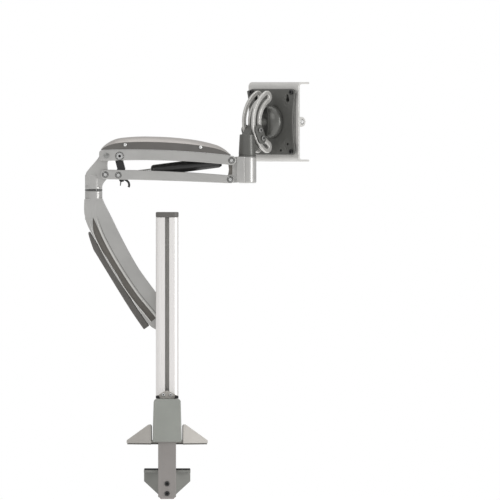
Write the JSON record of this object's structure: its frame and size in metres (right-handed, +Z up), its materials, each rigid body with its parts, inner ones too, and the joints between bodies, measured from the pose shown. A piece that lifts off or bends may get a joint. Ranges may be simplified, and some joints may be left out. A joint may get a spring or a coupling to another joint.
{
  "type": "monitor arm",
  "caption": "Desk-clamped monitor arm: column, swinging lower arm, gas-sprung parallel upper arm, and a tilting, rolling head plate.",
  "frame": {"origin": "on the desk top, under the column's axis: the middle of the foot pad's underside", "axes": "+Z up along the column, +Y from the desk's rear edge towards the user, +X to the right seen from behind the desk"},
  "size_m": [0.3794, 0.2029, 0.699],
  "materials": {
    "silver_paint": "cast, satin silver paint",
    "bright_aluminium": "bright anodised extrusion",
    "pale_paint": "pale silver paint",
    "foot_paint": "warm grey paint",
    "grey_paint": "cast, flat grey paint",
    "strap_paint": "warm grey paint",
    "dark_paint": "cast, dark satin paint",
    "rail_paint": "pale grey paint",
    "grey_plastic": "fine-grained moulding",
    "black_plastic": "fine-grained moulding",
    "black_metal": "black enamel",
    "black_rubber": "matt",
    "steel": "bright zinc",
    "bush_plastic": "plain bearing plastic"
  },
  "bodies": {
    "clamp_base": {"base_foot": "foot_paint", "foot_pad": "black_rubber", "base_block": "grey_paint", "column_key": "foot_paint", "key_screw_left": "steel", "key_screw_right": "steel", "wedge_pad": "black_rubber", "column": "bright_aluminium", "column_cap": "grey_plastic", "column_bolt": "steel"},
    "clamp_jaw": {"jaw_strap": "strap_paint", "jaw_bracket": "strap_paint", "jaw_pad": "black_rubber", "jaw_bolt_upper": "black_metal", "jaw_bolt_lower": "black_metal", "jaw_nut": "steel"},
    "clamp_screw": {"clamp_screw": "steel"},
    "carriage": {"column_bracket": "grey_paint", "slot_nut": "steel", "bracket_screw": "steel", "pivot_shaft": "steel"},
    "lower_arm": {"lower_arm": "silver_paint", "base_bush": "bush_plastic", "elbow_bush": "bush_plastic", "cable_cover": "grey_plastic"},
    "elbow": {"elbow_ring": "black_plastic", "elbow_yoke": "silver_paint", "elbow_shaft": "steel", "rear_upper_pin": "steel", "rear_lower_pin": "steel"},
    "upper_link": {"upper_link": "silver_paint", "top_cover": "grey_plastic", "cover_screw_rear": "steel", "cover_screw_front": "steel", "front_upper_pin": "steel", "adjuster_bolt": "steel"},
    "lower_link": {"lower_link": "silver_paint", "front_lower_pin": "steel", "strut_lower_pin": "steel"},
    "strut": {"adjuster_strut": "black_metal"},
    "spring_tube": {"gas_spring_tube": "black_metal", "gas_spring_fitting": "black_metal"},
    "spring_rod": {"gas_spring_rod": "steel"},
    "tip": {"tip_block": "silver_paint"},
    "head_post": {"head_post": "dark_paint", "post_shaft": "steel", "tilt_clamp_left": "dark_paint", "tilt_clamp_right": "dark_paint", "tilt_bolt_lower": "steel", "tilt_bolt_upper": "steel"},
    "tilt_frame": {"tilt_rail_left": "rail_paint", "tilt_rail_right": "rail_paint", "roll_hub": "dark_paint"},
    "head_plate": {"head_plate": "dark_paint", "monitor_bracket": "pale_paint", "plate_screw_1": "black_metal", "plate_screw_2": "black_metal", "plate_screw_3": "black_metal", "plate_screw_4": "black_metal"},
    "latch": {"latch_screw": "steel"}
  },
  "joints": [
    {"name": "jaw_slide", "type": "slide", "parent": "clamp_base", "child": "clamp_jaw", "axis": [0, 0, 1], "range_m": [-0.02, 0.022]},
    {"name": "clamp_screw_turn", "type": "hinge", "parent": "clamp_base", "child": "clamp_screw", "pos_m": [0, -0.028, 0], "axis": [0, 0, 1], "range_deg": [-4000, 3700]},
    {"name": "carriage_slide", "type": "slide", "parent": "clamp_base", "child": "carriage", "axis": [0, 0, 1], "range_m": [-0.06, 0.12]},
    {"name": "arm_swing", "type": "hinge", "parent": "carriage", "child": "lower_arm", "pos_m": [0, 0.052, 0.218], "axis": [0, 0, 1], "range_deg": [-185, 5]},
    {"name": "elbow_swing", "type": "hinge", "parent": "lower_arm", "child": "elbow", "pos_m": [-0.124, 0.052, 0.4275], "axis": [0, 0, 1], "range_deg": [-180, 180]},
    {"name": "lift", "type": "hinge", "parent": "elbow", "child": "upper_link", "pos_m": [-0.1021, 0.052, 0.4845], "axis": [0, -1, 0], "range_deg": [-30, 35]},
    {"name": "lower_link_turn", "type": "hinge", "parent": "elbow", "child": "lower_link", "pos_m": [-0.1043, 0.052, 0.4525], "axis": [0, -1, 0], "range_deg": [-36, 36]},
    {"name": "strut_turn", "type": "hinge", "parent": "lower_link", "child": "strut", "pos_m": [-0.08225, 0.052, 0.45164], "axis": [0, -1, 0], "range_deg": [-36, 36]},
    {"name": "spring_tube_turn", "type": "hinge", "parent": "upper_link", "child": "spring_tube", "pos_m": [0.1079, 0.052, 0.4763], "axis": [0, -1, 0], "range_deg": [-2, 2]},
    {"name": "spring_rod_slide", "type": "slide", "parent": "spring_tube", "child": "spring_rod", "axis": [-0.9917, 0, -0.1286], "range_m": [-0.02, 0.02]},
    {"name": "tip_level", "type": "hinge", "parent": "upper_link", "child": "tip", "pos_m": [0.1079, 0.052, 0.4763], "axis": [0, -1, 0], "range_deg": [-36, 36]},
    {"name": "head_swivel", "type": "hinge", "parent": "tip", "child": "head_post", "pos_m": [0.1344, 0.052, 0.4815], "axis": [0, 0, 1], "range_deg": [-150, 60]},
    {"name": "tilt", "type": "hinge", "parent": "head_post", "child": "tilt_frame", "pos_m": [0.17541, 0.09301, 0.541], "axis": [0.7071, -0.7071, 0], "range_deg": [-15, 30]},
    {"name": "roll", "type": "hinge", "parent": "tilt_frame", "child": "head_plate", "pos_m": [0.17541, 0.09301, 0.541], "axis": [0.7071, 0.7071, 0], "range_deg": [-90, 90]},
    {"name": "latch_turn", "type": "hinge", "parent": "head_plate", "child": "latch", "pos_m": [0.22046, 0.06593, 0.541], "axis": [0.7071, -0.7071, 0], "continuous": true}
  ],
  "couplings": [
    {"joint": "clamp_screw_turn", "follows": "jaw_slide", "rad_per_m": -3141.6},
    {"joint": "lower_link_turn", "follows": "lift", "ratio": 1},
    {"joint": "strut_turn", "follows": "lift", "ratio": -1},
    {"joint": "spring_tube_turn", "follows": "lift", "ratio": -0.03},
    {"joint": "spring_rod_slide", "follows": "lift", "m_per_rad": 0.03},
    {"joint": "tip_level", "follows": "lift", "ratio": -1}
  ]
}
